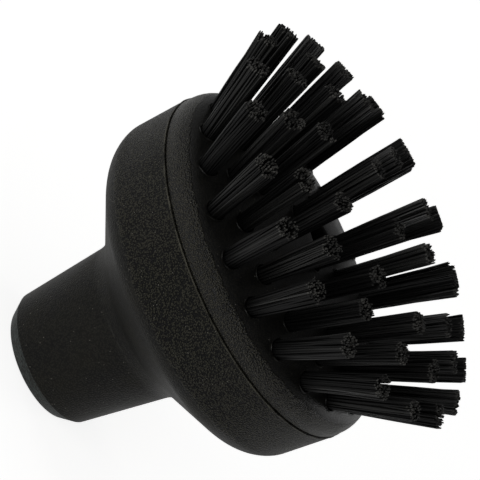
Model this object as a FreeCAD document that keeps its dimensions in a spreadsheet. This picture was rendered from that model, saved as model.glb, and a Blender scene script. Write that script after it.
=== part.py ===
"""Round brush head for a suction hose.

The head is a hollow hood with a hose socket, a domed bristle plate whose spigot fits the hood's
rim, and four rings of bristle tufts, each held by a flat wire anchor in a blind hole of the plate.
Lengths are millimetres, +Z runs from the socket mouth to the bristles, and the origin is the
centre of the mouth.
"""
import FreeCAD
import Part
import math
import os
import Sketcher

DRIVING_SIZES = {
    # Hose socket and neck
    "socket_radius": 16.0,
    "socket_depth": 34.0,
    "stop_lip": 2.2,
    "stop_thickness": 2.5,
    "mouth_land": 0.8,
    "mouth_chamfer_height": 4.4,
    "neck_tip_radius": 19.7,
    "neck_root_radius": 23.4,
    "neck_root_height": 35.9,
    "neck_root_fillet": 10.0,
    # Hood
    "hood_back_rise": 17.3,
    "hood_side_height": 19.8,
    "hood_side_draft": 1.2,
    "shoulder_fillet": 9.0,
    "back_thickness": 3.4,
    "rim_radius": 50.6,
    "rim_wall": 4.0,
    # Seam and spigot joint between hood and plate
    "seam_gap": 0.35,
    "seam_depth": 0.9,
    "spigot_clearance": 0.2,
    "spigot_wall": 3.0,
    "spigot_length": 7.0,
    # Bristle plate
    "plate_setback": 0.2,
    "plate_edge_rise": 6.47,
    "dome_radius": 110.0,
    "plate_thickness": 11.0,
    "plate_rim_fillet": 7.5,
    "air_hole_radius": 6.0,
    # Tufts, measured from the point below the dome that all of them radiate from
    "fan_depth": 91.4,
    "tuft_foot": 85.5,
    "tuft_mouth": 93.0,
    "tuft_tip": 119.1,
    "hole_radius": 2.95,
    "hole_clearance": 0.1,
    "tuft_tip_radius": 3.95,
    # Anchors
    "anchor_thickness": 0.5,
    "anchor_width": 1.8,
}

# The rings of tufts: how many each has, how far out it stands as a share of the plate's radius,
# and the bearing of its first tuft in degrees.
TUFTS_PER_RING = {"outer": 20, "second": 15, "third": 10, "inner": 5}
RING_RATIOS = {"outer": 0.8776, "second": 0.7091, "third": 0.5457, "inner": 0.2345}
BEARING_ANGLES = {"outer": 10.75, "second": 8.8, "third": 5.9, "inner": 3.0}

CHORDS_PER_ARC = 3
SIDES_PER_HOLE = 6
SIDES_PER_LENGTH = 3
QUARTER_TURN = 90.0
FULL_TURN = 360.0


class Size:
    """A length that is known both as a number and as the formula that yields it in the sheet."""

    def __init__(self, number, formula):
        self.number = number
        self.formula = formula

    def __add__(self, other):
        return Size(self.number + other.number, f"({self.formula} + {other.formula})")

    def __sub__(self, other):
        return Size(self.number - other.number, f"({self.formula} - {other.formula})")

    def __mul__(self, other):
        return Size(self.number * other.number, f"({self.formula} * {other.formula})")

    def __truediv__(self, other):
        return Size(self.number / other.number, f"({self.formula} / {other.formula})")

    def root(self):
        return Size(math.sqrt(self.number), f"sqrt({self.formula})")

    def arcsine(self):
        return Size(math.degrees(math.asin(self.number)), f"asin({self.formula})")


def constant(number):
    """A pure number inside a formula."""
    return Size(number, str(number))


def make_sheet(doc):
    """Writes the driving sizes and the rings' values to the sheet and returns them by name."""
    sheet = doc.addObject("Spreadsheet::Sheet", "Sizes")
    rows = dict(DRIVING_SIZES)
    for ring, count in TUFTS_PER_RING.items():
        rows[f"{ring}_count"] = count
        rows[f"{ring}_ratio"] = RING_RATIOS[ring]
        rows[f"{ring}_bearing"] = BEARING_ANGLES[ring]
    for row, (alias, number) in enumerate(rows.items(), start=1):
        sheet.set(f"A{row}", alias)
        sheet.set(f"B{row}", str(number))
        sheet.setAlias(f"B{row}", alias)
    doc.recompute()
    return {alias: Size(float(number), f"Sizes.{alias}") for alias, number in rows.items()}


def add_derived_sizes(sizes):
    """Adds the sizes that follow from others, so that the hood, plate and tufts keep together."""
    sizes["shoulder_radius"] = sizes["rim_radius"] - sizes["hood_side_draft"]
    sizes["shoulder_height"] = sizes["neck_root_height"] + sizes["hood_back_rise"]
    sizes["rim_height"] = sizes["shoulder_height"] + sizes["hood_side_height"]
    sizes["bore_radius"] = sizes["rim_radius"] - sizes["rim_wall"]
    sizes["spigot_radius"] = sizes["bore_radius"] - sizes["spigot_clearance"]
    sizes["plate_radius"] = sizes["rim_radius"] - sizes["plate_setback"]
    edge_depth = dome_depth(sizes, sizes["plate_radius"])
    sizes["dome_centre"] = sizes["rim_height"] + sizes["plate_edge_rise"] - edge_depth
    dome_top = sizes["dome_centre"] + sizes["dome_radius"]
    sizes["fan_centre"] = dome_top - sizes["fan_depth"]
    for ring in TUFTS_PER_RING:
        ring_radius = sizes[f"{ring}_ratio"] * sizes["plate_radius"]
        sizes[f"{ring}_lean"] = (ring_radius / sizes["tuft_mouth"]).arcsine()


def dome_depth(sizes, radius):
    """How far above its centre the plate's dome is at a radius."""
    return (sizes["dome_radius"] * sizes["dome_radius"] - radius * radius).root()


def dome_level(sizes, radius):
    """The height of the plate's dome at a radius."""
    return sizes["dome_centre"] + dome_depth(sizes, radius)


def origin_feature(body, role):
    """The plane or axis of a body's own origin that has the given role."""
    return next(item for item in body.Origin.OriginFeatures if item.Role == role)


class Corner:
    """A corner of a turned outline: its radius, its height and the rounding on it, if any.

    A corner without a height lies where the dome's arc beside it crosses its radius.
    """

    def __init__(self, radius, height=None, rounding=None):
        self.radius = radius
        self.height = height
        self.rounding = rounding


def short_arc(hub, radius, first, last):
    """The shorter arc between two points, and which of its ends lies at each point."""
    begin, finish = (math.atan2(point.y - hub.y, point.x - hub.x) for point in (first, last))
    sweep = (finish - begin) % (2 * math.pi)
    ends = (1, 2)
    if sweep > math.pi:
        begin = finish
        sweep = 2 * math.pi - sweep
        ends = (2, 1)
    circle = Part.Circle(hub, FreeCAD.Vector(0, 0, 1), radius)
    return Part.ArcOfCircle(circle, begin, begin + sweep), ends


def bind(sketch, kind, *places, size):
    """Adds a dimension to the sketch and ties it to the sheet."""
    number = sketch.addConstraint(Sketcher.Constraint(kind, *places, size.number))
    sketch.setExpression(f"Constraints[{number}]", size.formula)


def draw_chords(sketch, edge, ends):
    """Draws equal chords along a guide arc, which keep the turned face light."""
    arc = sketch.Geometry[edge]
    first, last = arc.FirstParameter, arc.LastParameter
    if ends[0] == 2:
        first, last = last, first
    steps = [first + (last - first) * step / CHORDS_PER_ARC for step in range(CHORDS_PER_ARC + 1)]
    points = [arc.value(step) for step in steps]
    chords = [sketch.addGeometry(Part.LineSegment(*pair), False) for pair in zip(points, points[1:])]
    sketch.addConstraint(Sketcher.Constraint("Coincident", edge, ends[0], chords[0], 1))
    for chord, following in zip(chords, chords[1:]):
        sketch.addConstraint(Sketcher.Constraint("Coincident", chord, 2, following, 1))
        sketch.addConstraint(Sketcher.Constraint("PointOnObject", chord, 2, edge))
        sketch.addConstraint(Sketcher.Constraint("Equal", chord, following))
    sketch.addConstraint(Sketcher.Constraint("Coincident", chords[-1], 2, edge, ends[1]))


def draw_profile(body, name, corners, domes=None):
    """Draws a closed outline in the XZ plane, to the right of the axis.

    A dome is an arc about the axis. It is given by the number of the corner that it starts from,
    with the height of its centre and its radius. The other spans are straight. Domes and
    roundings are guide arcs, and the outline follows their chords.
    """
    domes = domes or {}
    sketch = body.newObject("Sketcher::SketchObject", name)
    sketch.AttachmentSupport = (origin_feature(body, "XZ_Plane"), [""])
    sketch.MapMode = "FlatFace"
    count = len(corners)

    def place(number):
        corner = corners[number % count]
        if corner.height:
            return FreeCAD.Vector(corner.radius.number, corner.height.number, 0)
        centre, radius = domes.get(number % count) or domes[(number - 1) % count]
        rise = math.sqrt(radius.number**2 - corner.radius.number**2)
        return FreeCAD.Vector(corner.radius.number, centre.number + rise, 0)

    def heading(span, point):
        """The direction of travel along a span at a point."""
        chord = place(span + 1) - place(span)
        if span % count not in domes:
            return chord.normalize()
        spoke = point - FreeCAD.Vector(0, domes[span % count][0].number, 0)
        tangent = FreeCAD.Vector(-spoke.y, spoke.x, 0).normalize()
        return tangent if tangent.dot(chord) > 0 else tangent * -1

    def trimmed(number):
        """The points where the outline leaves the span before a corner and joins the one after it."""
        point = place(number)
        rounding = corners[number % count].rounding
        if not rounding:
            return point, point
        arriving = heading((number - 1) % count, point)
        leaving = heading(number % count, point)
        setback = rounding.number * math.tan(arriving.getAngle(leaving) / 2)
        return point - arriving * setback, point + leaving * setback

    spans = []
    guides = []
    for number in range(count):
        first = trimmed(number)[1]
        last = trimmed(number + 1)[0]
        if number in domes:
            centre, radius = domes[number]
            arc, ends = short_arc(FreeCAD.Vector(0, centre.number, 0), radius.number, first, last)
            edge = sketch.addGeometry(arc, True)
            sketch.addConstraint(Sketcher.Constraint("PointOnObject", edge, 3, -2))
            bind(sketch, "DistanceY", -1, 1, edge, 3, size=centre)
            bind(sketch, "Radius", edge, size=radius)
            guides.append((edge, ends))
        else:
            edge = sketch.addGeometry(Part.LineSegment(first, last), False)
            ends = (1, 2)
        spans.append((edge, ends))
    for number, corner in enumerate(corners):
        before, (_, before_end) = spans[number - 1]
        after, (after_start, _) = spans[number]
        held, held_point = after, after_start
        if corner.rounding:
            first, last = trimmed(number)
            arriving = heading((number - 1) % count, place(number))
            inward = (last - first) - arriving * (last - first).dot(arriving)
            hub = first + inward.normalize() * corner.rounding.number
            arc, ends = short_arc(hub, corner.rounding.number, first, last)
            edge = sketch.addGeometry(arc, True)
            guides.append((edge, ends))
            sketch.addConstraint(Sketcher.Constraint("Tangent", before, before_end, edge, ends[0]))
            sketch.addConstraint(Sketcher.Constraint("Tangent", edge, ends[1], after, after_start))
            bind(sketch, "Radius", edge, size=corner.rounding)
            held = sketch.addGeometry(Part.Point(place(number)), True)
            held_point = 1
            sketch.addConstraint(Sketcher.Constraint("PointOnObject", held, 1, before))
            sketch.addConstraint(Sketcher.Constraint("PointOnObject", held, 1, after))
        else:
            sketch.addConstraint(Sketcher.Constraint("Coincident", before, before_end, after, after_start))
        bind(sketch, "DistanceX", -1, 1, held, held_point, size=corner.radius)
        if corner.height:
            bind(sketch, "DistanceY", -1, 1, held, held_point, size=corner.height)
    for edge, ends in guides:
        draw_chords(sketch, edge, ends)
    return sketch


def turn(body, sketch):
    """Turns a profile once round the axis."""
    turned = body.newObject("PartDesign::Revolution", f"{sketch.Name}_turned")
    turned.Profile = sketch
    turned.ReferenceAxis = (sketch, ["V_Axis"])
    turned.Angle = 360
    sketch.Document.recompute()
    return turned


def make_housing(doc, sizes):
    """The hood and its hose socket, moulded in one piece and open at both ends."""
    body = doc.addObject("PartDesign::Body", "housing")
    body.Label = "housing"
    mouth_radius = sizes["socket_radius"] + sizes["mouth_land"]
    stop_radius = sizes["socket_radius"] - sizes["stop_lip"]
    stop_top = sizes["socket_depth"] + sizes["stop_thickness"]
    back_slope = sizes["hood_back_rise"] / (sizes["shoulder_radius"] - sizes["neck_root_radius"])
    inner_back = sizes["neck_root_height"] + sizes["back_thickness"]
    throat_radius = sizes["neck_root_radius"] + (stop_top - inner_back) / back_slope
    inner_shoulder = inner_back + (sizes["bore_radius"] - sizes["neck_root_radius"]) * back_slope
    seam_floor = sizes["rim_height"] - sizes["seam_gap"]
    ledge_radius = sizes["rim_radius"] - sizes["seam_depth"]
    corners = [
        Corner(sizes["socket_radius"], constant(0.0)),
        Corner(mouth_radius, constant(0.0)),
        Corner(sizes["neck_tip_radius"], sizes["mouth_chamfer_height"]),
        Corner(sizes["neck_root_radius"], sizes["neck_root_height"], sizes["neck_root_fillet"]),
        Corner(sizes["shoulder_radius"], sizes["shoulder_height"], sizes["shoulder_fillet"]),
        Corner(sizes["rim_radius"], seam_floor),
        Corner(ledge_radius, seam_floor),
        Corner(ledge_radius, sizes["rim_height"]),
        Corner(sizes["bore_radius"], sizes["rim_height"]),
        Corner(sizes["bore_radius"], inner_shoulder),
        Corner(throat_radius, stop_top),
        Corner(stop_radius, stop_top),
        Corner(stop_radius, sizes["socket_depth"]),
        Corner(sizes["socket_radius"], sizes["socket_depth"]),
    ]
    turn(body, draw_profile(body, "housing_profile", corners))
    return body


def make_plate(doc, sizes):
    """The domed plate with its spigot, air hole and blind tuft holes."""
    body = doc.addObject("PartDesign::Body", "bristle_plate")
    body.Label = "bristle_plate"
    air_hole_radius = sizes["air_hole_radius"]
    spigot_radius = sizes["spigot_radius"]
    spigot_inside = spigot_radius - sizes["spigot_wall"]
    spigot_end = sizes["rim_height"] - sizes["spigot_length"]
    corners = [
        Corner(air_hole_radius),
        Corner(sizes["plate_radius"], rounding=sizes["plate_rim_fillet"]),
        Corner(sizes["plate_radius"], sizes["rim_height"]),
        Corner(spigot_radius, sizes["rim_height"]),
        Corner(spigot_radius, spigot_end),
        Corner(spigot_inside, spigot_end),
        Corner(spigot_inside, dome_level(sizes, spigot_inside) - sizes["plate_thickness"]),
        Corner(air_hole_radius, dome_level(sizes, air_hole_radius) - sizes["plate_thickness"]),
    ]
    domes = {0: (sizes["dome_centre"], sizes["dome_radius"])}
    turn(body, draw_profile(body, "plate_profile", corners, domes))
    for ring in TUFTS_PER_RING:
        cut_ring_of_holes(body, ring, sizes)
    return body


def fan_placement(ring, sizes, distance, bearing):
    """The formula of a frame on a ring of the fan, with its Z along the tuft and Y round the ring."""
    lean = sizes[f"{ring}_lean"].formula
    reach = distance.formula
    place = (
        f"vector({reach} * sin({lean}) * cos({bearing}); {reach} * sin({lean}) * sin({bearing}); "
        f"{sizes['fan_centre'].formula} + {reach} * cos({lean}))"
    )
    return f"placement({place}; rotation({bearing}; {lean}; 0))"


def cut_ring_of_holes(body, ring, sizes):
    """Cuts one ring of blind six-sided tuft holes."""
    hole = body.newObject("PartDesign::SubtractivePrism", f"{ring}_hole")
    hole.Polygon = SIDES_PER_HOLE
    hole.setExpression("Circumradius", "Sizes.hole_radius")
    hole.setExpression("Height", "Sizes.tuft_mouth - Sizes.tuft_foot + Sizes.hole_radius * 2")
    bearing = f"Sizes.{ring}_bearing"
    hole.setExpression("Placement", fan_placement(ring, sizes, sizes["tuft_foot"], bearing))
    repeat_round_axis(body, ring, hole)


def repeat_round_axis(body, ring, feature):
    """Repeats a feature evenly round the axis, once for each tuft of a ring."""
    pattern = body.newObject("PartDesign::PolarPattern", f"{feature.Name}_pattern")
    pattern.Originals = [feature]
    pattern.Axis = (origin_feature(body, "Z_Axis"), [""])
    pattern.Angle = 360
    pattern.setExpression("Occurrences", f"Sizes.{ring}_count")
    body.Tip = pattern
    body.Document.recompute()


def make_anchors(doc, sizes):
    """The flat wire anchors that hold the tufts, as one group of separate solids.

    Each stands on the floor of its hole and reaches from one flat side of it to the opposite one.
    """
    body = doc.addObject("PartDesign::Body", "tuft_anchors")
    body.Label = "tuft_anchors"
    half_length = flat_distance(sizes["hole_radius"])
    for ring in TUFTS_PER_RING:
        anchor = body.newObject("PartDesign::AdditiveBox", f"{ring}_anchor")
        anchor.setExpression("Length", "Sizes.anchor_thickness")
        anchor.setExpression("Width", f"2 * {half_length}")
        anchor.setExpression("Height", "Sizes.anchor_width")
        corner = f"placement(vector(-Sizes.anchor_thickness / 2; -{half_length}; 0); rotation(0; 0; 0))"
        seat = fan_placement(ring, sizes, sizes["tuft_foot"], f"Sizes.{ring}_bearing")
        anchor.setExpression("Placement", f"{seat} * {corner}")
        repeat_round_axis(body, ring, anchor)
    return body


def flat_distance(radius):
    """The formula of the distance from the axis to a hole's flat sides, from its corners' radius."""
    return f"({radius.formula} * cos(180 / {SIDES_PER_HOLE}))"


def make_three_sided_length(doc, name, first_bearing, start, end):
    """A tapering three-sided length, as what three slabs turned about one axis have in common.

    The start and the end are each a height and the radius that the corners reach there.
    """
    slabs = []
    for number in range(SIDES_PER_LENGTH):
        slab = doc.addObject("Part::Wedge", f"{name}_slab_{number + 1}")
        for suffix, level, (height, radius) in (("", "Ymin", start), ("2", "Ymax", end)):
            flat_side = f"{radius.formula} * cos(180 / {SIDES_PER_LENGTH})"
            far_side = f"({radius.formula} * 2)"
            slab.setExpression(f"X{suffix}min", f"-{far_side}")
            slab.setExpression(f"X{suffix}max", flat_side)
            slab.setExpression(f"Z{suffix}min", f"-{far_side}")
            slab.setExpression(f"Z{suffix}max", far_side)
            slab.setExpression(level, height.formula)
        upright = FreeCAD.Rotation(FreeCAD.Vector(1, 0, 0), QUARTER_TURN)
        bearing = first_bearing + number * FULL_TURN / SIDES_PER_LENGTH
        about_axis = FreeCAD.Rotation(FreeCAD.Vector(0, 0, 1), bearing)
        slab.Placement = FreeCAD.Placement(FreeCAD.Vector(), about_axis * upright)
        slabs.append(slab)
    length = doc.addObject("Part::MultiCommon", name)
    length.Shapes = slabs
    return length


def make_tuft_form(doc, sizes):
    """One tuft in its own frame: a ribbed bundle that stands on its anchor and flares to its tip.

    Two three-sided lengths crossed on one axis give it six ribs, one to each corner of its hole.
    """
    mouth_height = sizes["tuft_mouth"] - sizes["tuft_foot"]
    mouth_radius = sizes["hole_radius"] - sizes["hole_clearance"]
    tip_height = sizes["tuft_tip"] - sizes["tuft_foot"]
    flare = (sizes["tuft_tip_radius"] - mouth_radius) / (tip_height - mouth_height)
    start_height = sizes["anchor_width"]
    start_radius = mouth_radius - (mouth_height - start_height) * flare
    start = (start_height, start_radius)
    end = (tip_height, sizes["tuft_tip_radius"])
    form = doc.addObject("Part::MultiFuse", "tuft_form")
    form.Refine = True
    form.Shapes = [
        make_three_sided_length(doc, "even_ribs", 0.0, start, end),
        make_three_sided_length(doc, "odd_ribs", FULL_TURN / SIDES_PER_HOLE, start, end),
    ]
    doc.recompute()
    return form


def make_tufts(doc, sizes, form):
    """Every tuft of every ring, each a copy of the tuft form in its own hole."""
    tufts = []
    for ring, count in TUFTS_PER_RING.items():
        for number in range(count):
            name = f"{ring}_tuft_{number + 1:02d}"
            tuft = doc.addObject("PartDesign::Body", name)
            tuft.Label = name
            tuft.BaseFeature = form
            bearing = f"(Sizes.{ring}_bearing + {number} * 360 / Sizes.{ring}_count)"
            placement = fan_placement(ring, sizes, sizes["tuft_foot"], bearing)
            tuft.setExpression("Placement", placement)
            tufts.append(tuft)
    doc.recompute()
    return tufts


def check_document(doc, parts):
    """Stops the build where an object has failed or a part has no valid shape."""
    for item in doc.Objects:
        if "Invalid" in item.State or "Error" in item.State:
            raise RuntimeError(f"{item.Name} has failed: {item.State}")
    for part in parts:
        if part.Shape.isNull() or not part.Shape.isValid():
            raise RuntimeError(f"{part.Label} has no valid shape")


def main():
    """Builds the brush head and writes one file for each part."""
    doc = FreeCAD.newDocument("brush_head")
    sizes = make_sheet(doc)
    add_derived_sizes(sizes)
    parts = [make_housing(doc, sizes), make_plate(doc, sizes), make_anchors(doc, sizes)]
    parts += make_tufts(doc, sizes, make_tuft_form(doc, sizes))
    doc.recompute()
    check_document(doc, parts)
    os.makedirs("parts", exist_ok=True)
    for part in parts:
        part.Shape.exportStep(f"parts/{part.Label}.step")
        print(part.Label, len(part.Shape.Solids), round(part.Shape.Volume, 2))


main()
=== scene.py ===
"""Dresses the round suction brush head and sets the pale studio that it is looked at in.

The hood, the bristle plate and every tuft get a finer mesh than the frame's own solids. Lengths in
the classes are millimetres, in the frame's own axes: +Z runs from the hose socket to the bristles.
"""
import logging
import math
import random
from dataclasses import dataclass, field
from enum import Enum
from itertools import pairwise
from typing import Any, Iterable, Optional, Sequence

import bmesh
import bpy
from mathutils import Matrix, Vector


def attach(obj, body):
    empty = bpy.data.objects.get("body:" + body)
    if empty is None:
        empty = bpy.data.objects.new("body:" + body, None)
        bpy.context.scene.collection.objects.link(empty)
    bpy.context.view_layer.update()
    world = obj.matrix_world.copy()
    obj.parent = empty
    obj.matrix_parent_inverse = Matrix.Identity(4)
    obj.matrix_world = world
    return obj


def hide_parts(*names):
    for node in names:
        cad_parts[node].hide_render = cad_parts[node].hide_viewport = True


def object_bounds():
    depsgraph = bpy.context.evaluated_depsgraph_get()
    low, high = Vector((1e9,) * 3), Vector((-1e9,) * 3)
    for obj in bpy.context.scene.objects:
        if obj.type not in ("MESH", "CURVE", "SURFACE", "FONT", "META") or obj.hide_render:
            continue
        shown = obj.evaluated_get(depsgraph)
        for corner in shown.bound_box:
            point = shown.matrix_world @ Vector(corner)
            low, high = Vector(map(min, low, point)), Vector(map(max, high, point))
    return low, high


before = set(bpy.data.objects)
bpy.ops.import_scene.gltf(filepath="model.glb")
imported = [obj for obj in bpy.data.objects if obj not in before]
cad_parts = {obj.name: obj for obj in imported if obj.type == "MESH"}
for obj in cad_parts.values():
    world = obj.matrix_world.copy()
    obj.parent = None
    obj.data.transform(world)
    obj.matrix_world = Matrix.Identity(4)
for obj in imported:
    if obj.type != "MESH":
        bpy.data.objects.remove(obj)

CAD_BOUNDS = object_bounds()
LOG = logging.getLogger("brush_head")
MILLIMETRE = 0.001
# Points that are closer than this, in metres, lie on the same ring.
SAME_PLACE = 1e-5


def mm(length: float) -> float:
    """Turns millimetres into metres."""
    return length * MILLIMETRE


def linear(code: str) -> tuple[float, float, float, float]:
    """Turns a colour's sRGB code into the linear values that a shader takes.

    Args:
        code: Six hexadecimal digits after a hash sign.

    Returns:
        Red, green, blue and an alpha of 1.
    """
    channels = [int(code[place:place + 2], 16) / 255 for place in (1, 3, 5)]
    red, green, blue = (
        value / 12.92 if value <= 0.04045 else ((value + 0.055) / 1.055) ** 2.4
        for value in channels
    )
    return red, green, blue, 1.0


# Materials


def add_node(
    tree: bpy.types.NodeTree,
    kind: str,
    feeds: Optional[dict[Any, Any]] = None,
    settings: Optional[dict[str, Any]] = None,
    **inputs: Any,
) -> bpy.types.Node:
    """Adds a node with its settings, its values and its links.

    Args:
        tree: The node tree that gets the node.
        kind: The node's type name.
        feeds: An output socket or a value for each input, by the input's name or number.
        settings: The node's own properties.
        **inputs: Values of its inputs, by name with underscores for spaces.

    Returns:
        The new node.
    """
    node = tree.nodes.new(kind)
    for name, value in (settings or {}).items():
        setattr(node, name, value)
    for name, value in inputs.items():
        node.inputs[name.replace("_", " ")].default_value = value
    for name, value in (feeds or {}).items():
        if isinstance(value, bpy.types.NodeSocket):
            tree.links.new(value, node.inputs[name])
        else:
            node.inputs[name].default_value = value
    return node


def start_material(name: str) -> tuple[bpy.types.Material, bpy.types.NodeTree]:
    """Makes a material whose node tree is still empty.

    Args:
        name: The material's name.

    Returns:
        The material and its node tree.
    """
    made = bpy.data.materials.new(name)
    made.use_nodes = True
    made.node_tree.nodes.clear()
    return made, made.node_tree


class Pattern(Enum):
    """The kinds of surface that the head's plastics were moulded with."""

    SPARK_GRAIN = "spark_grain"
    SATIN = "satin"


PEBBLE_SHARES = {Pattern.SPARK_GRAIN: 0.7, Pattern.SATIN: 0.55}


@dataclass(frozen=True)
class PaintedLightRing:
    """A ring between two heights, painted a paler colour as the light that it catches."""

    low: float
    high: float
    colour: str
    share: float
    break_size: float
    fade: float = 0.15
    break_range: tuple[float, float] = (0.38, 0.62)


# Moulded polypropylene looks dull black. Where the mould was grained it looks a little olive and
# finely mottled, and dust lies on it as pale points. Such a grain is finer than the render's pixels
# of about 0.3 mm, so it is drawn as coarse as it needs to show.
@dataclass(frozen=True)
class MouldedPlastic:
    """Black moulded polypropylene: matte, with the grain of its mould and a little dust in it."""

    name: str
    pattern: Pattern
    colour: str
    worn_colour: str
    dust_colour: str
    roughness: float
    specular_level: float
    grain_size: float
    grain_height: float
    dust_spacing: float
    dust_share: float
    band_colour: str
    pit_colour: str
    band_from: float
    band_to: float
    plain_share: float
    painted_light_rings: tuple[PaintedLightRing, ...] = ()
    refraction: float = 1.49
    mottle_size: float = 14.0
    mottle_range: tuple[float, float] = (0.35, 0.7)
    raised_range: tuple[float, float] = (0.38, 0.66)
    rough_from: tuple[float, float] = (0.3, 0.7)
    rough_range: tuple[float, float] = (-0.05, 0.07)
    dust_core: float = 0.4
    dust_rarity: float = 0.55
    wander_size: float = 2.6
    wander: float = 1.6
    lower_fade: tuple[float, float] = (0.6, 1.1)
    upper_fade: tuple[float, float] = (1.0, 0.6)
    pebble_range: tuple[float, float] = (0.75, 0.15)
    fine_share: float = 0.8

    def material(self) -> bpy.types.Material:
        """Builds the plastic with its grain, its mottling, its dust and its rings of painted light.

        Returns:
            The material.
        """
        made, tree = start_material(self.name)
        place = add_node(tree, "ShaderNodeTexCoord").outputs["Object"]
        grain = self.add_grain(tree, place)
        band = self.add_band(tree, place)
        mottle = add_node(
            tree, "ShaderNodeTexNoise", {"Vector": place},
            Scale=1 / mm(self.mottle_size), Detail=4.0, Roughness=0.6,
        ).outputs["Fac"]
        patch = add_node(
            tree, "ShaderNodeMapRange", {"Value": mottle},
            From_Min=self.mottle_range[0], From_Max=self.mottle_range[1],
        )
        ground = add_node(
            tree, "ShaderNodeMix", {"Factor": patch.outputs["Result"]}, {"data_type": "RGBA"},
            A=linear(self.colour), B=linear(self.worn_colour),
        )
        raised = add_node(
            tree, "ShaderNodeMapRange", {"Value": grain},
            From_Min=self.raised_range[0], From_Max=self.raised_range[1],
        )
        grained = add_node(
            tree, "ShaderNodeMix", {"Factor": raised.outputs["Result"]}, {"data_type": "RGBA"},
            A=linear(self.pit_colour), B=linear(self.band_colour),
        )
        depth = add_node(
            tree, "ShaderNodeMapRange", {"Value": band}, To_Min=self.plain_share, To_Max=1.0
        ).outputs["Result"]
        face = add_node(
            tree, "ShaderNodeMix",
            {"Factor": depth, "A": ground.outputs["Result"], "B": grained.outputs["Result"]},
            {"data_type": "RGBA"},
        )
        painted_light_rings = self.add_painted_light_rings(tree, place, face.outputs["Result"])
        rough = add_node(
            tree, "ShaderNodeMapRange", {"Value": mottle},
            From_Min=self.rough_from[0], From_Max=self.rough_from[1],
            To_Min=self.roughness + self.rough_range[0],
            To_Max=self.roughness + self.rough_range[1],
        )
        height = add_node(
            tree, "ShaderNodeMath", {0: grain, 1: depth}, {"operation": "MULTIPLY"}
        )
        bump = add_node(
            tree, "ShaderNodeBump", {"Height": height.outputs[0]},
            Strength=1.0, Distance=mm(self.grain_height),
        )
        shader = add_node(
            tree, "ShaderNodeBsdfPrincipled",
            {
                "Base Color": self.add_dust(tree, place, painted_light_rings),
                "Roughness": rough.outputs["Result"],
                "Normal": bump.outputs["Normal"],
            },
            IOR=self.refraction, Specular_IOR_Level=self.specular_level,
        )
        add_node(tree, "ShaderNodeOutputMaterial", {"Surface": shader.outputs["BSDF"]})
        return made

    def add_dust(
        self, tree: bpy.types.NodeTree, place: bpy.types.NodeSocket, colour: Any
    ) -> Any:
        """Adds pale points of dust over a colour.

        Args:
            tree: The material's node tree.
            place: The place on the piece, in its own frame.
            colour: The colour under the dust.

        Returns:
            The output with the colour and its dust.
        """
        speck = add_node(
            tree, "ShaderNodeTexVoronoi", {"Vector": place}, {"feature": "F1"},
            Scale=1 / mm(self.dust_spacing), Randomness=1.0,
        )
        dust = add_node(
            tree, "ShaderNodeMapRange", {"Value": speck.outputs["Distance"]},
            From_Min=self.dust_share, From_Max=self.dust_share * self.dust_core,
        )
        rare = add_node(
            tree, "ShaderNodeMath", {0: speck.outputs["Color"], 1: self.dust_rarity},
            {"operation": "GREATER_THAN"},
        )
        dusty = add_node(
            tree, "ShaderNodeMath", {0: dust.outputs["Result"], 1: rare.outputs[0]},
            {"operation": "MULTIPLY"},
        )
        return add_node(
            tree, "ShaderNodeMix", {"Factor": dusty.outputs[0], "A": colour},
            {"data_type": "RGBA"}, B=linear(self.dust_colour),
        ).outputs["Result"]

    def add_painted_light_rings(
        self, tree: bpy.types.NodeTree, place: bpy.types.NodeSocket, colour: Any
    ) -> Any:
        """Adds the rings of painted light over a colour, each with uneven breaks in it.

        Args:
            tree: The material's node tree.
            place: The place on the piece, in its own frame.
            colour: The colour under the rings.

        Returns:
            The output with the colour and its rings.
        """
        level = add_node(tree, "ShaderNodeSeparateXYZ", {"Vector": place}).outputs["Z"]
        # Each ring is painted light: a paler colour where the surface would catch the light.
        for zone in self.painted_light_rings:
            mask, above = (
                add_node(
                    tree, "ShaderNodeMapRange", {"Value": level},
                    From_Min=mm(edge), From_Max=mm(edge + fade),
                ).outputs["Result"]
                for edge, fade in ((zone.low, zone.fade), (zone.high, -zone.fade))
            )
            breaks = add_node(
                tree, "ShaderNodeTexNoise", {"Vector": place},
                Scale=1 / mm(zone.break_size), Detail=3.0,
            )
            kept = add_node(
                tree, "ShaderNodeMapRange", {"Value": breaks.outputs["Fac"]},
                From_Min=zone.break_range[0], From_Max=zone.break_range[1], To_Max=zone.share,
            ).outputs["Result"]
            for factor in (above, kept):
                mask = add_node(
                    tree, "ShaderNodeMath", {0: mask, 1: factor}, {"operation": "MULTIPLY"}
                ).outputs[0]
            colour = add_node(
                tree, "ShaderNodeMix", {"Factor": mask, "A": colour},
                {"data_type": "RGBA"}, B=linear(zone.colour),
            ).outputs["Result"]
        return colour

    def add_band(self, tree: bpy.types.NodeTree, place: bpy.types.NodeSocket) -> Any:
        """Adds the mask of the grained band, which ends in an uneven line at both heights.

        Args:
            tree: The material's node tree.
            place: The place on the piece, in its own frame.

        Returns:
            The output that is 1 in the band and 0 outside it.
        """
        level = add_node(tree, "ShaderNodeSeparateXYZ", {"Vector": place}).outputs["Z"]
        wander = add_node(
            tree, "ShaderNodeTexNoise", {"Vector": place},
            Scale=1 / mm(self.wander_size), Detail=3.0,
        )
        uneven = add_node(
            tree, "ShaderNodeMath",
            {0: wander.outputs["Fac"], 1: mm(self.wander), 2: level},
            {"operation": "MULTIPLY_ADD"},
        ).outputs[0]
        above, below = (
            add_node(
                tree, "ShaderNodeMapRange", {"Value": uneven},
                From_Min=mm(edge + fade[0]), From_Max=mm(edge + fade[1]),
            ).outputs["Result"]
            for edge, fade in ((self.band_from, self.lower_fade), (self.band_to, self.upper_fade))
        )
        return add_node(
            tree, "ShaderNodeMath", {0: above, 1: below}, {"operation": "MULTIPLY"}
        ).outputs[0]

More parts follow.
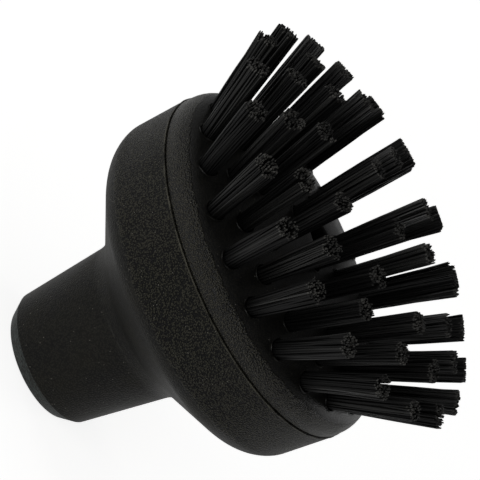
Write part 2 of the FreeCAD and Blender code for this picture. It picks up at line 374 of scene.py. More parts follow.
    def add_grain(self, tree: bpy.types.NodeTree, place: bpy.types.NodeSocket) -> Any:
        """Adds the height pattern of the mould's surface and returns its output.

        Args:
            tree: The material's node tree.
            place: The place on the piece, in its own frame.

        Returns:
            The output with the height, from 0 to 1.
        """
        pebble = add_node(
            tree, "ShaderNodeTexVoronoi", {"Vector": place}, {"feature": "F1"},
            Scale=1 / mm(self.grain_size), Randomness=0.9,
        )
        core = add_node(
            tree, "ShaderNodeMapRange", {"Value": pebble.outputs["Distance"]},
            From_Min=self.pebble_range[0], From_Max=self.pebble_range[1],
        )
        fine = add_node(
            tree, "ShaderNodeTexNoise", {"Vector": place},
            Scale=1 / mm(self.grain_size * self.fine_share), Detail=3.0, Roughness=0.6,
        )
        return add_node(
            tree, "ShaderNodeMix",
            {
                "Factor": PEBBLE_SHARES[self.pattern],
                "A": fine.outputs["Fac"],
                "B": core.outputs["Result"],
            },
            {"data_type": "FLOAT"},
        ).outputs["Result"]


# Drawn nylon looks near black, with a thin bright line along each filament that catches the light.
# Cut ends are rough and dull, so they look greyer than the sides.
@dataclass(frozen=True)
class DrawnNylon:
    """Black nylon filament: drawn, so it is smooth and shines in a line along its length."""

    name: str
    colour: str
    light_colour: str
    roughness: float
    specular_level: float
    ripple_size: float
    bright_from: float
    refraction: float = 1.53
    shade_colour: str = "#040404"
    shade_range: tuple[float, float] = (0.1, 0.6)
    rough_range: tuple[float, float] = (0.14, -0.08)
    ripple_height: float = 0.02

    def material(self) -> bpy.types.Material:
        """Builds the nylon with its tone from filament to filament, and with painted shade that
        makes it darkest down in the tuft.

        Returns:
            The material.
        """
        made, tree = start_material(self.name)
        place = add_node(tree, "ShaderNodeTexCoord").outputs["Object"]
        ripple = add_node(
            tree, "ShaderNodeTexNoise", {"Vector": place},
            Scale=1 / mm(self.ripple_size), Detail=2.0,
        )
        tone, reach = (
            add_node(tree, "ShaderNodeAttribute", settings={"attribute_name": name}).outputs["Fac"]
            for name in ("tone", "reach")
        )
        # On the drawn sides the lighter colour is a painted highlight on the filaments that tone
        # picks.
        bright = add_node(
            tree, "ShaderNodeMapRange", {"Value": tone}, From_Min=self.bright_from, From_Max=1.0
        ).outputs["Result"]
        lit = add_node(
            tree, "ShaderNodeMix", {"Factor": bright}, {"data_type": "RGBA"},
            A=linear(self.colour), B=linear(self.light_colour),
        )
        # Painted shade: near the foot, where the tuft is dense, the colour turns to the shade
        # colour.
        unshaded = add_node(
            tree, "ShaderNodeMapRange", {"Value": reach},
            From_Min=self.shade_range[0], From_Max=self.shade_range[1],
        )
        mixed = add_node(
            tree, "ShaderNodeMix",
            {"Factor": unshaded.outputs["Result"], "B": lit.outputs["Result"]},
            {"data_type": "RGBA"}, A=linear(self.shade_colour),
        )
        rough = add_node(
            tree, "ShaderNodeMapRange", {"Value": bright},
            To_Min=self.roughness + self.rough_range[0],
            To_Max=self.roughness + self.rough_range[1],
        )
        bump = add_node(
            tree, "ShaderNodeBump", {"Height": ripple.outputs["Fac"]},
            Strength=0.4, Distance=mm(self.ripple_height),
        )
        shader = add_node(
            tree, "ShaderNodeBsdfPrincipled",
            {
                "Base Color": mixed.outputs["Result"],
                "Roughness": rough.outputs["Result"],
                "Normal": bump.outputs["Normal"],
            },
            IOR=self.refraction, Specular_IOR_Level=self.specular_level,
        )
        add_node(tree, "ShaderNodeOutputMaterial", {"Surface": shader.outputs["BSDF"]})
        return made


# Zinc-plated wire looks bright grey with an uneven sheen. The wire lies hidden in the holes, so its
# plating is assumed. Its unevenness is too fine to show and is drawn as coarse as it needs to be.
@dataclass(frozen=True)
class FlatSteelWire:
    """Zinc-plated flat steel wire: bright, with the uneven sheen that the rolls leave."""

    name: str = "zinc_plated_steel_wire"
    colour: str = "#b9babb"
    dull_colour: str = "#8f9091"
    mottle_size: float = 0.15
    rough_range: tuple[float, float] = (0.25, 0.45)

    def material(self) -> bpy.types.Material:
        """Builds the steel with a fine mottle in its tone and its roughness.

        Returns:
            The material.
        """
        made, tree = start_material(self.name)
        place = add_node(tree, "ShaderNodeTexCoord").outputs["Object"]
        mottle = add_node(
            tree, "ShaderNodeTexNoise", {"Vector": place},
            Scale=1 / mm(self.mottle_size), Detail=3.0,
        ).outputs["Fac"]
        colour = add_node(
            tree, "ShaderNodeMix", {"Factor": mottle}, {"data_type": "RGBA"},
            A=linear(self.colour), B=linear(self.dull_colour),
        )
        rough = add_node(
            tree, "ShaderNodeMapRange", {"Value": mottle},
            To_Min=self.rough_range[0], To_Max=self.rough_range[1],
        )
        shader = add_node(
            tree, "ShaderNodeBsdfPrincipled",
            {"Base Color": colour.outputs["Result"], "Roughness": rough.outputs["Result"]},
            Metallic=1.0,
        )
        add_node(tree, "ShaderNodeOutputMaterial", {"Surface": shader.outputs["BSDF"]})
        return made


# Modelling by operators


def start_clean() -> None:
    """Leaves nothing selected, so that the next operator acts on the new piece alone."""
    bpy.ops.object.select_all(action="DESELECT")


def make_active(piece: bpy.types.Object) -> None:
    """Selects one piece alone and makes it the active one.

    Args:
        piece: The piece that the next operator acts on.
    """
    start_clean()
    piece.select_set(True)
    bpy.context.view_layer.objects.active = piece


def shade_smooth(piece: bpy.types.Object, angle: float) -> None:
    """Shades a piece smooth, apart from edges sharper than an angle in degrees."""
    make_active(piece)
    bpy.ops.object.shade_smooth_by_angle(angle=math.radians(angle))


def apply_place(piece: bpy.types.Object) -> None:
    """Moves a piece's place into its mesh, so that its object sits unturned at the origin."""
    make_active(piece)
    bpy.ops.object.transform_apply(location=True, rotation=True, scale=True)


def join_pieces(name: str, pieces: Sequence[bpy.types.Object]) -> bpy.types.Object:
    """Joins pieces into one, named object.

    Args:
        name: The joined object's name.
        pieces: The pieces, of which the first takes in the rest.

    Returns:
        The joined object, at the origin.
    """
    start_clean()
    for piece in pieces:
        piece.select_set(True)
    bpy.context.view_layer.objects.active = pieces[0]
    bpy.ops.object.join()
    joined = bpy.context.view_layer.objects.active
    joined.name = name
    joined.data.name = name
    apply_place(joined)
    return joined


def dress(piece: bpy.types.Object, slot: str, *materials: bpy.types.Material) -> None:
    """Gives a piece its materials and lets it ride on the head.

    Args:
        piece: The finished piece.
        slot: The record's material slot. It is not used.
        *materials: The materials, in the order of the faces' numbers.
    """
    piece.data.materials.clear()
    for material in materials:
        piece.data.materials.append(material)
    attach(piece, "root")


@dataclass(frozen=True)
class Corner:
    """A corner of a turned outline, with the radius of the rounding on it, if any."""

    radius: float
    height: float
    rounding: float = 0.0
    segments: int = 6


@dataclass
class TurnedForm:
    """A closed form that is raised ring by ring from a circle and rounded at its corners."""

    name: str
    outline: Sequence[Corner]
    ring_segments: int = 240

    def build(self) -> bpy.types.Object:
        """Raises the rings, closes the form and rounds its corners.

        Returns:
            The finished object, at the origin.
        """
        start_clean()
        first = self.outline[0]
        bpy.ops.mesh.primitive_circle_add(
            vertices=self.ring_segments,
            radius=mm(first.radius),
            fill_type="NOTHING",
            location=(0.0, 0.0, mm(first.height)),
        )
        piece = bpy.context.object
        piece.name = self.name
        piece.data.name = self.name
        apply_place(piece)
        bpy.ops.object.mode_set(mode="EDIT")
        bpy.ops.mesh.select_all(action="SELECT")
        for before, after in pairwise(self.outline):
            self.raise_ring(before, after)
        bpy.ops.mesh.select_all(action="DESELECT")
        bpy.ops.mesh.select_mode(type="EDGE")
        bpy.ops.mesh.select_non_manifold(
            extend=False,
            use_wire=False,
            use_multi_face=False,
            use_non_contiguous=False,
            use_verts=False,
        )
        bpy.ops.mesh.bridge_edge_loops()
        bpy.ops.mesh.select_all(action="SELECT")
        bpy.ops.mesh.normals_make_consistent(inside=False)
        for number, corner in enumerate(self.outline):
            if corner.rounding:
                self.round_corner(piece, number)
        bpy.ops.object.mode_set(mode="OBJECT")
        return piece

    def raise_ring(self, before: Corner, after: Corner) -> None:
        """Extrudes the selected ring from one corner to the next.

        Args:
            before: The corner that the selected ring lies at.
            after: The corner that it is raised to.
        """
        rise = mm(after.height - before.height)
        bpy.ops.mesh.extrude_region_move(TRANSFORM_OT_translate={"value": (0.0, 0.0, rise)})
        spread = after.radius / before.radius
        bpy.ops.transform.resize(
            value=(spread, spread, 1.0), center_override=(0.0, 0.0, mm(after.height))
        )

    def round_corner(self, piece: bpy.types.Object, number: int) -> None:
        """Rounds the edge ring at a corner with an arc of its radius.

        Args:
            piece: The form, in edit mode.
            number: The corner's place in the outline.
        """
        corner = self.outline[number]
        before = self.outline[number - 1]
        after = self.outline[(number + 1) % len(self.outline)]
        arriving = Vector((corner.radius - before.radius, corner.height - before.height))
        leaving = Vector((after.radius - corner.radius, after.height - corner.height))
        setback = corner.rounding * math.tan(arriving.angle(leaving) / 2)
        bpy.ops.mesh.select_all(action="DESELECT")
        self.select_ring(piece, corner)
        bpy.ops.mesh.bevel(
            offset_type="OFFSET",
            offset=mm(setback),
            segments=corner.segments,
            profile=0.5,
            affect="EDGES",
            clamp_overlap=False,
        )

    def select_ring(self, piece: bpy.types.Object, corner: Corner) -> None:
        """Selects the edges of the ring at a corner.

        Args:
            piece: The form, in edit mode.
            corner: The corner whose ring is meant.
        """
        mesh = bmesh.from_edit_mesh(piece.data)
        for edge in mesh.edges:
            ends = [(vertex.co.xy.length, vertex.co.z) for vertex in edge.verts]
            edge.select_set(
                all(
                    abs(radius - mm(corner.radius)) < SAME_PLACE
                    and abs(height - mm(corner.height)) < SAME_PLACE
                    for radius, height in ends
                )
            )
        bmesh.update_edit_mesh(piece.data)


# The hood


@dataclass
class Hood:
    """The hollow hood with its neck and hose socket, and the thin lip along its seam."""

    socket_radius: float = 16.0
    socket_depth: float = 34.0
    stop_radius: float = 13.8
    stop_top: float = 36.5
    mouth_radius: float = 16.75
    neck_tip: tuple[float, float] = (19.7, 4.3)
    neck_root: tuple[float, float] = (23.4, 35.9)
    shoulder: tuple[float, float] = (49.4, 53.2)
    rim_radius: float = 50.6
    rim_height: float = 73.0
    seam_gap: float = 0.34
    lip_rise: float = 0.08
    lip_width: float = 0.55
    bore_radius: float = 46.6
    ledge_radius: float = 49.7
    inner_shoulder: float = 54.7
    throat_radius: float = 19.2
    mouth_edges: tuple[float, float] = (0.25, 0.5)
    tip_rounding: float = 0.35
    root_fillet: float = 10.0
    shoulder_rounding: float = 9.0
    inner_rounding: float = 6.0
    stop_rounding: float = 0.3
    lip_crest: float = 0.6
    lip_lean: float = 0.05
    lip_roundings: tuple[float, float] = (0.2, 0.15)
    lip_margin: float = 0.02
    lip_waver: float = 0.05
    lip_lift: float = 0.04
    lip_waves: tuple[int, int, int] = (9, 31, 57)
    lip_phase: float = 1.3
    lip_fine_share: float = 0.5
    smooth_angle: float = 28.0

    def outline(self) -> list[Corner]:
        """Lists the corners of the hood's section, from the socket's mouth round to its stop.

        Returns:
            The corners, in order.
        """
        seam_floor = self.rim_height - self.seam_gap
        lip_foot = seam_floor - self.lip_width
        draft = (self.rim_radius - self.shoulder[0]) / (seam_floor - self.shoulder[1])
        foot_radius = self.rim_radius - draft * self.lip_width
        lip_radius = self.rim_radius + self.lip_rise
        crest, top = self.lip_roundings
        return [
            Corner(self.socket_radius, 0.0, self.mouth_edges[0], segments=3),
            Corner(self.mouth_radius, 0.0, self.mouth_edges[1], segments=3),
            Corner(*self.neck_tip, self.tip_rounding, segments=4),
            Corner(*self.neck_root, self.root_fillet, segments=12),
            Corner(*self.shoulder, self.shoulder_rounding, segments=12),
            Corner(foot_radius, lip_foot),
            Corner(lip_radius, lip_foot + self.lip_width * self.lip_crest, crest, segments=3),
            Corner(lip_radius - self.lip_lean, seam_floor, top, segments=3),
            Corner(self.ledge_radius, seam_floor),
            Corner(self.ledge_radius, self.rim_height),
            Corner(self.bore_radius, self.rim_height),
            Corner(self.bore_radius, self.inner_shoulder, self.inner_rounding),
            Corner(self.throat_radius, self.stop_top),
            Corner(self.stop_radius, self.stop_top, self.stop_rounding, segments=3),
            Corner(self.stop_radius, self.socket_depth, self.stop_rounding, segments=3),
            Corner(self.socket_radius, self.socket_depth),
        ]

    def work_lip(self, piece: bpy.types.Object) -> None:
        """Leaves the thin lip along the seam as uneven as its parting line is.

        Args:
            piece: The hood, in object mode.
        """
        foot = mm(self.rim_height - self.seam_gap - self.lip_width)
        long, short, fine = self.lip_waves
        for vertex in piece.data.vertices:
            radius = vertex.co.xy.length
            if radius < mm(self.rim_radius - self.lip_margin) or vertex.co.z < foot:
                continue
            angle = math.atan2(vertex.co.y, vertex.co.x)
            wave = math.sin(long * angle + self.lip_phase) * math.sin(short * angle)
            wave += self.lip_fine_share * math.sin(fine * angle)
            spread = 1.0 + mm(self.lip_waver * wave) / radius
            vertex.co.x *= spread
            vertex.co.y *= spread
            vertex.co.z += mm(self.lip_lift * wave)

    def build(self, plastic: bpy.types.Material) -> bpy.types.Object:
        """Builds and dresses the hood.

        Args:
            plastic: The hood's plastic.

        Returns:
            The hood.
        """
        piece = TurnedForm("hood", self.outline()).build()
        self.work_lip(piece)
        shade_smooth(piece, self.smooth_angle)
        dress(piece, "housing_plastic", plastic)
        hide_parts("housing")
        LOG.info("hood: %d faces", len(piece.data.polygons))
        return piece


# The tuft rings


@dataclass(frozen=True)
class TuftRing:
    """A ring of evenly spaced tufts that all radiate from one point."""

    name: str
    count: int
    lean: float
    first_bearing: float

    def places(self) -> Iterable[tuple[int, Matrix]]:
        """Yields each tuft's number and a turn that takes +Z to its direction.

        Yields:
            The number, from 1, and the turn.
        """
        for number in range(self.count):
            bearing = math.radians(self.first_bearing + 360.0 * number / self.count)
            lean = Matrix.Rotation(math.radians(self.lean), 4, "Y")
            yield number + 1, Matrix.Rotation(bearing, 4, "Z") @ lean


@dataclass
class TuftFan:
    """The common measures of all tufts, from the point that they radiate from."""

    centre_height: float = 0.296
    floor_distance: float = 85.5
    mouth_distance: float = 93.0
    tip_distance: float = 119.1
    hole_radius: float = 2.95
    rings: tuple[TuftRing, ...] = (
        TuftRing("outer", 20, 28.398, 10.75),
        TuftRing("second", 15, 22.6, 8.8),
        TuftRing("third", 10, 17.2, 5.9),
        TuftRing("inner", 5, 7.3, 3.0),
    )

    def frames(self) -> Iterable[tuple[str, int, Matrix]]:
        """Yields each tuft's ring, number and frame, with +Z along the tuft.

        Yields:
            The ring's name, the tuft's number and its frame.
        """
        origin = Matrix.Translation((0.0, 0.0, mm(self.centre_height)))
        for ring in self.rings:
            for number, turn in ring.places():
                yield ring.name, number, origin @ turn


# The bristle plate


@dataclass
class BristlePlate:
    """The domed plate with its rounded rim, its spigot, its air hole and its tuft holes."""

    fan: TuftFan
    air_hole_radius: float = 6.0
    air_hole_rounding: float = 0.6
    radius: float = 50.4
    rim_rounding: float = 7.5
    rim_height: float = 73.0
    dome_radius: float = 110.0
    dome_centre: float = -18.304
    dome_rings: int = 12
    spigot_radius: float = 46.4
    spigot_inside: float = 43.4
    spigot_end: float = 66.0
    thickness: float = 11.0
    collar_width: float = 0.5
    collar_height: float = 0.28
    collar_reach: float = 0.35
    collar_segments: tuple[int, int] = (40, 8)
    collar_seed: int = 11
    collar_lobes: tuple[int, ...] = (2, 3, 5)
    collar_swell: tuple[float, float] = (0.35, 0.8)
    collar_waver: float = 0.2
    collar_least: float = 0.05
    rim_steps: int = 10
    cutter_sides: int = 28
    edge_rounding: float = 0.25
    spigot_rounding: float = 0.4
    underside_rounding: float = 1.0
    hole_rounding: float = 0.3
    smooth_angle: float = 28.0
    collar_smooth_angle: float = 60.0

    def dome_level(self, radius: float) -> float:
        """Gives the height of the dome at a radius."""
        return self.dome_centre + math.sqrt(self.dome_radius**2 - radius**2)

    def outline(self) -> list[Corner]:
        """Lists the corners of the plate's section, from the air hole over the dome to the spigot.

        Returns:
            The corners, in order.
        """
        rim_centre = self.radius - self.rim_rounding
        reach = self.dome_radius - self.rim_rounding
        rim_level = self.dome_centre + math.sqrt(reach**2 - rim_centre**2)
        meeting = math.asin(rim_centre / reach)
        hole_angle = math.asin(self.air_hole_radius / self.dome_radius)
        dome = [
            Corner(
                self.dome_radius * math.sin(angle),
                self.dome_centre + self.dome_radius * math.cos(angle),
                self.air_hole_rounding if step == 0 else 0.0,
                segments=4,
            )
            for step in range(self.dome_rings + 1)
            for angle in [hole_angle + (meeting - hole_angle) * step / self.dome_rings]
        ]
        rim = [
            Corner(
                rim_centre + self.rim_rounding * math.sin(angle),
                rim_level + self.rim_rounding * math.cos(angle),
            )
            for step in range(1, self.rim_steps + 1)
            for angle in [meeting + (math.pi / 2 - meeting) * step / self.rim_steps]
        ]
        hole, inside = self.air_hole_radius, self.spigot_inside
        under_inside = self.dome_level(inside) - self.thickness
        under_hole = self.dome_level(hole) - self.thickness
        return dome + rim + [
            Corner(self.radius, self.rim_height, self.edge_rounding, segments=3),
            Corner(self.spigot_radius, self.rim_height),
            Corner(self.spigot_radius, self.spigot_end, self.spigot_rounding, segments=2),
            Corner(inside, self.spigot_end, self.spigot_rounding, segments=2),
            Corner(inside, under_inside, self.underside_rounding, segments=3),
            Corner(hole, under_hole, self.hole_rounding, segments=2),
        ]

    def cut_holes(self, plate: bpy.types.Object) -> None:
        """Cuts the blind tuft holes, each a copy of one cutter.

        Args:
            plate: The plate, in object mode.
        """
        start_clean()
        depth = self.fan.hole_radius * 2 + self.fan.mouth_distance - self.fan.floor_distance
        bpy.ops.mesh.primitive_cylinder_add(
            vertices=self.cutter_sides,
            radius=mm(self.fan.hole_radius),
            depth=mm(depth),
            location=(0.0, 0.0, mm(self.fan.floor_distance + depth / 2)),
        )
        pattern = bpy.context.object
        apply_place(pattern)
        cutters = []
        for _, _, place in self.fan.frames():
            cutter = pattern.copy()
            cutter.data = pattern.data.copy()
            cutter.matrix_world = place
            bpy.context.scene.collection.objects.link(cutter)
            cutters.append(cutter)
        bpy.data.objects.remove(pattern)
        bpy.context.view_layer.update()
        cutter = join_pieces("hole_cutters", cutters)
        make_active(plate)
        cut = plate.modifiers.new("tuft_holes", "BOOLEAN")
        cut.operation = "DIFFERENCE"
        cut.solver = "EXACT"
        cut.object = cutter
        bpy.ops.object.modifier_apply(modifier=cut.name)
        bpy.data.objects.remove(cutter)

    def surface_distance(self, place: Matrix) -> float:
        """Finds how far along a tuft's axis the dome's surface lies, in millimetres.

        Args:
            place: The tuft's frame.

        Returns:
            The distance from the frame's origin.
        """
        axis = (place.to_3x3() @ Vector((0.0, 0.0, 1.0))).normalized()
        offset = Vector((0.0, 0.0, self.fan.centre_height - self.dome_centre))
        along = offset.dot(axis)
        return -along + math.sqrt(along**2 - offset.length_squared + self.dome_radius**2)

    def build_collars(self) -> bpy.types.Object:
        """Builds the low raised edges that the drill left round the holes' mouths.

        Returns:
            All the edges, as one object.
        """
        draw = random.Random(self.collar_seed)
        middle, swing = self.collar_swell
        collars = []
        for _, _, place in self.fan.frames():
            start_clean()
            bpy.ops.mesh.primitive_torus_add(
                major_segments=self.collar_segments[0],
                minor_segments=self.collar_segments[1],
                major_radius=mm(self.fan.hole_radius + self.collar_width * self.collar_reach),
                minor_radius=mm(self.collar_width / 2),
            )
            collar = bpy.context.object
            phase = draw.uniform(0.0, 2 * math.pi)
            lobes = draw.choice(self.collar_lobes)
            for vertex in collar.data.vertices:
                angle = math.atan2(vertex.co.y, vertex.co.x)
                swell = middle + swing * math.sin(lobes * angle + phase)
                swell += draw.uniform(-self.collar_waver, self.collar_waver)
                swell = max(swell, self.collar_least)
                vertex.co.z *= swell * self.collar_height / (self.collar_width / 2)
            level = mm(self.surface_distance(place))
            tilt = self.surface_tilt(place, level)
            collar.matrix_world = place @ Matrix.Translation((0.0, 0.0, level)) @ tilt
            collars.append(collar)
        bpy.context.view_layer.update()
        return join_pieces("hole_collars", collars)

    def surface_tilt(self, place: Matrix, level: float) -> Matrix:
        """Turns a tuft's frame so that its +Z is square to the dome at a level in metres.

        Args:
            place: The tuft's frame.
            level: The distance along the tuft, in metres.

        Returns:
            The turn, in the tuft's frame.
        """
        point = place @ Vector((0.0, 0.0, level))
        normal = (point - Vector((0.0, 0.0, mm(self.dome_centre)))).normalized()
        local = place.to_3x3().inverted() @ normal
        return Vector((0.0, 0.0, 1.0)).rotation_difference(local).to_matrix().to_4x4()

    def build(self, plastic: bpy.types.Material) -> bpy.types.Object:
        """Builds and dresses the plate and the collars of its holes.

        Args:
            plastic: The plate's plastic.

        Returns:
            The plate.
        """
        piece = TurnedForm("bristle_dome", self.outline()).build()
        self.cut_holes(piece)
        shade_smooth(piece, self.smooth_angle)
        dress(piece, "plate_plastic", plastic)
        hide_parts("bristle_plate")
        collars = self.build_collars()
        shade_smooth(collars, self.collar_smooth_angle)
        dress(collars, "plate_plastic", plastic)
        LOG.info("bristle dome: %d faces", len(piece.data.polygons))
        LOG.info("hole collars: %d faces", len(collars.data.polygons))
        return piece


# The bristles


@dataclass
class BristleFilament:
    """One filament of unit length, which every bristle of every tuft is a copy of."""

    radius: float = 0.255
    sides: int = 6
    lengths: int = 5
    rounded_length: float = 0.012
    end_share: float = 0.72
    end_reach: float = 1.5

    @property
    def end_from(self) -> float:
        """Gives the share of the length past which a point belongs to the cut end."""
        return 1.0 - self.rounded_length * self.end_reach

    def build(self) -> tuple[list[Vector], list[tuple[int, ...]], list[int]]:
        """Models the filament and reads its mesh.

        Returns:
            Its points with a height from 0 to 1, its faces, and the faces that are its cut end.
        """
        start_clean()
        bpy.ops.mesh.primitive_cylinder_add(
            vertices=self.sides, radius=self.radius, depth=1.0, location=(0.0, 0.0, 0.5)
        )
        piece = bpy.context.object
        apply_place(piece)
        bpy.ops.object.mode_set(mode="EDIT")
        mesh = bmesh.from_edit_mesh(piece.data)
        bpy.ops.mesh.select_all(action="DESELECT")
        bpy.ops.mesh.select_mode(type="EDGE")
        for edge in mesh.edges:
            edge.select_set(abs(edge.verts[0].co.z - edge.verts[1].co.z) > 0.5)
        bmesh.update_edit_mesh(piece.data)
        bpy.ops.mesh.subdivide(number_cuts=self.lengths - 1)
        bpy.ops.object.mode_set(mode="OBJECT")
        levels = sorted({round(vertex.co.z, 4) for vertex in piece.data.vertices})
        for vertex in piece.data.vertices:
            if round(vertex.co.z, 4) == levels[-2]:
                vertex.co.z = 1.0 - self.rounded_length
            elif round(vertex.co.z, 4) == levels[-1]:
                vertex.co.x *= self.end_share
                vertex.co.y *= self.end_share
        points = [vertex.co.copy() for vertex in piece.data.vertices]
        faces = [tuple(face.vertices) for face in piece.data.polygons]
        ends = [
            number
            for number, face in enumerate(faces)
            if all(points[vertex].z > self.end_from for vertex in face)
        ]
        bpy.data.objects.remove(piece)
        return points, faces, ends


@dataclass
class BristleTufts:
    """The fifty bundles of filaments, each a little uneven in its spread and its length."""

    fan: TuftFan
    filament: BristleFilament = field(default_factory=BristleFilament)
    packing: float = 0.515
    foot_radius: float = 2.72
    tip_radius: float = 3.72
    foot_distance: float = 88.0
    tip_limit: float = 3.9
    tip_jitter: float = 0.17
    length_jitter: float = 1.0
    bow: float = 0.24
    clumps: int = 11
    clump_pull: float = 0.34
    end_tilt: float = 0.55
    stray_share: float = 0.015
    stray_spread: float = 1.18
    foot_jitter: float = 0.05
    foot_margin: float = 0.8
    spread_range: tuple[float, float] = (0.94, 1.06)
    sway: float = 0.2
    slope: float = 0.08
    thickness: tuple[float, float] = (0.9, 1.2)
    pull_range: tuple[float, float] = (0.4, 1.2)
    clump_tone: float = 0.7
    own_tone: float = 0.3
    flare: tuple[float, float] = (1.6, 0.6)
    smooth_angle: float = 50.0
    seed: int = 40

    def foot_places(self, draw: random.Random) -> list[tuple[float, float]]:
        """Packs the filaments' feet close together in a disc.

        Args:
            draw: The source of the feet's unevenness.

        Returns:
            The feet's places across the tuft, in millimetres.
        """
        turn = draw.uniform(0.0, math.pi / 3)
        rows = int(self.foot_radius / self.packing) + 2
        limit = self.foot_radius - self.filament.radius * self.foot_margin
        places = []
        for row in range(-rows, rows + 1):
            for column in range(-rows, rows + 1):
                across = (column + row / 2) * self.packing
                along = row * self.packing * math.sqrt(3) / 2
                across += draw.uniform(-self.foot_jitter, self.foot_jitter)
                along += draw.uniform(-self.foot_jitter, self.foot_jitter)
                if math.hypot(across, along) > limit:
                    continue
                places.append(
                    (
                        across * math.cos(turn) - along * math.sin(turn),
                        across * math.sin(turn) + along * math.cos(turn),
                    )
                )
        return places

    def fits(self, place: Matrix, tip: Vector, level: float) -> bool:
        """Tells whether a filament's end stays inside the box of the frame's solids.

        Args:
            place: The tuft's frame.
            tip: The end's place across the tuft, in millimetres.
            level: Its distance along the tuft, in millimetres.

        Returns:
            True where the end has room.
        """
        low, high = CAD_BOUNDS
        end = place @ (Vector((tip.x, tip.y, level)) * MILLIMETRE)
        room = mm(self.filament.radius * 2)
        return all(low[axis] + room < end[axis] < high[axis] - room for axis in range(3))

    def build_tuft(
        self,
        name: str,
        place: Matrix,
        draw: random.Random,
        shape: tuple[list[Vector], list[tuple[int, ...]], list[int]],
    ) -> bpy.types.Object:
        """Builds one tuft from copies of the filament.

        Args:
            name: The tuft's name.
            place: The tuft's frame.
            draw: The source of its unevenness.
            shape: The filament's points, faces and end faces.

        Returns:
            The tuft's object, at the origin.
        """
        points, faces, ends = shape
        spread = self.tip_radius / self.foot_radius * draw.uniform(*self.spread_range)
        oval = draw.uniform(*self.spread_range)
        sway = [draw.uniform(-self.sway, self.sway) for _ in range(2)]
        slope = [draw.uniform(-self.slope, self.slope) for _ in range(2)]
        vertices: list[Vector] = []
        polygons: list[tuple[int, ...]] = []
        end_faces: set[int] = set()
        tones: list[float] = []
        reaches: list[float] = []
        feet = self.foot_places(draw)
        gathered = [
            Vector((across * spread * oval, along * spread / oval))
            for across, along in draw.sample(feet, self.clumps)
        ]
        clump_tones = [draw.random() for _ in gathered]
        for across, along in feet:
            tip = Vector((across * spread * oval, along * spread / oval))
            nearest = min(gathered, key=lambda middle: (middle - tip).length)
            tip += (nearest - tip) * self.clump_pull * draw.uniform(*self.pull_range)
            tip += Vector((draw.gauss(0.0, self.tip_jitter), draw.gauss(0.0, self.tip_jitter)))
            tip += Vector(sway)
            thick = draw.uniform(*self.thickness)
            limit = self.tip_limit - self.filament.radius * thick
            if tip.length > limit:
                tip *= limit / tip.length
            tip_level = self.fan.tip_distance + slope[0] * across + slope[1] * along
            tip_level -= self.length_jitter * draw.random() ** 2
            bend = (draw.gauss(0.0, self.bow), draw.gauss(0.0, self.bow))
            tilt = (draw.gauss(0.0, self.end_tilt), draw.gauss(0.0, self.end_tilt))
            stray = draw.random() < self.stray_share
            if stray and self.fits(place, tip * self.stray_spread, tip_level):
                tip *= self.stray_spread
            tip_across, tip_along = tip
            # Tone picks, clump by clump and at random, the filaments that get the painted
            # highlight.
            tone = clump_tones[gathered.index(nearest)] * self.clump_tone
            tone += draw.random() * self.own_tone
            first = len(vertices)
            for point in points:
                share = point.z
                ease = share * share * (self.flare[0] - self.flare[1] * share)
                arch = math.sin(math.pi * share)
                level = self.foot_distance + (tip_level - self.foot_distance) * share
                if share > self.filament.end_from:
                    level += tilt[0] * point.x + tilt[1] * point.y
                local = Vector(
                    (
                        across + (tip_across - across) * ease + bend[0] * arch + point.x * thick,
                        along + (tip_along - along) * ease + bend[1] * arch + point.y * thick,
                        min(level, self.fan.tip_distance),
                    )
                )
                vertices.append(place @ (local * MILLIMETRE))
                tones.append(tone)
                # Reach runs from foot to tip and sets the nylon's painted shade near the foot.
                reaches.append(share)
            end_faces.update(len(polygons) + number for number in ends)
            polygons.extend(tuple(first + number for number in face) for face in faces)
        mesh = bpy.data.meshes.new(name)
        mesh.from_pydata(vertices, [], polygons)
        for number in end_faces:
            mesh.polygons[number].material_index = 1
        for title, values in (("tone", tones), ("reach", reaches)):
            mesh.attributes.new(title, "FLOAT", "POINT").data.foreach_set("value", values)
        piece = bpy.data.objects.new(name, mesh)
        bpy.context.scene.collection.objects.link(piece)
        return piece

    def build(self, nylon: bpy.types.Material, cut_nylon: bpy.types.Material) -> None:
        """Builds and dresses every tuft.

        Args:
            nylon: The drawn sides' material.
            cut_nylon: The cut ends' material.
        """
        shape = self.filament.build()
        for ring, number, place in self.fan.frames():
            draw = random.Random(f"{self.seed} {ring} {number}")
            piece = self.build_tuft(f"{ring}_bristles_{number:02d}", place, draw, shape)
            shade_smooth(piece, self.smooth_angle)
            indices = [face.material_index for face in piece.data.polygons]
            dress(piece, "bristle_nylon", nylon, cut_nylon)
            piece.data.polygons.foreach_set("material_index", indices)
            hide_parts(f"{ring}_tuft_{number:02d}")
        LOG.info("tufts: %d filament faces each copy", len(shape[1]))


# The studio


@dataclass(frozen=True)
class SoftLamp:
    """A flat soft lamp that points at the head."""

    name: str
    place: tuple[float, float, float]
    width: float
    height: float
    power: float


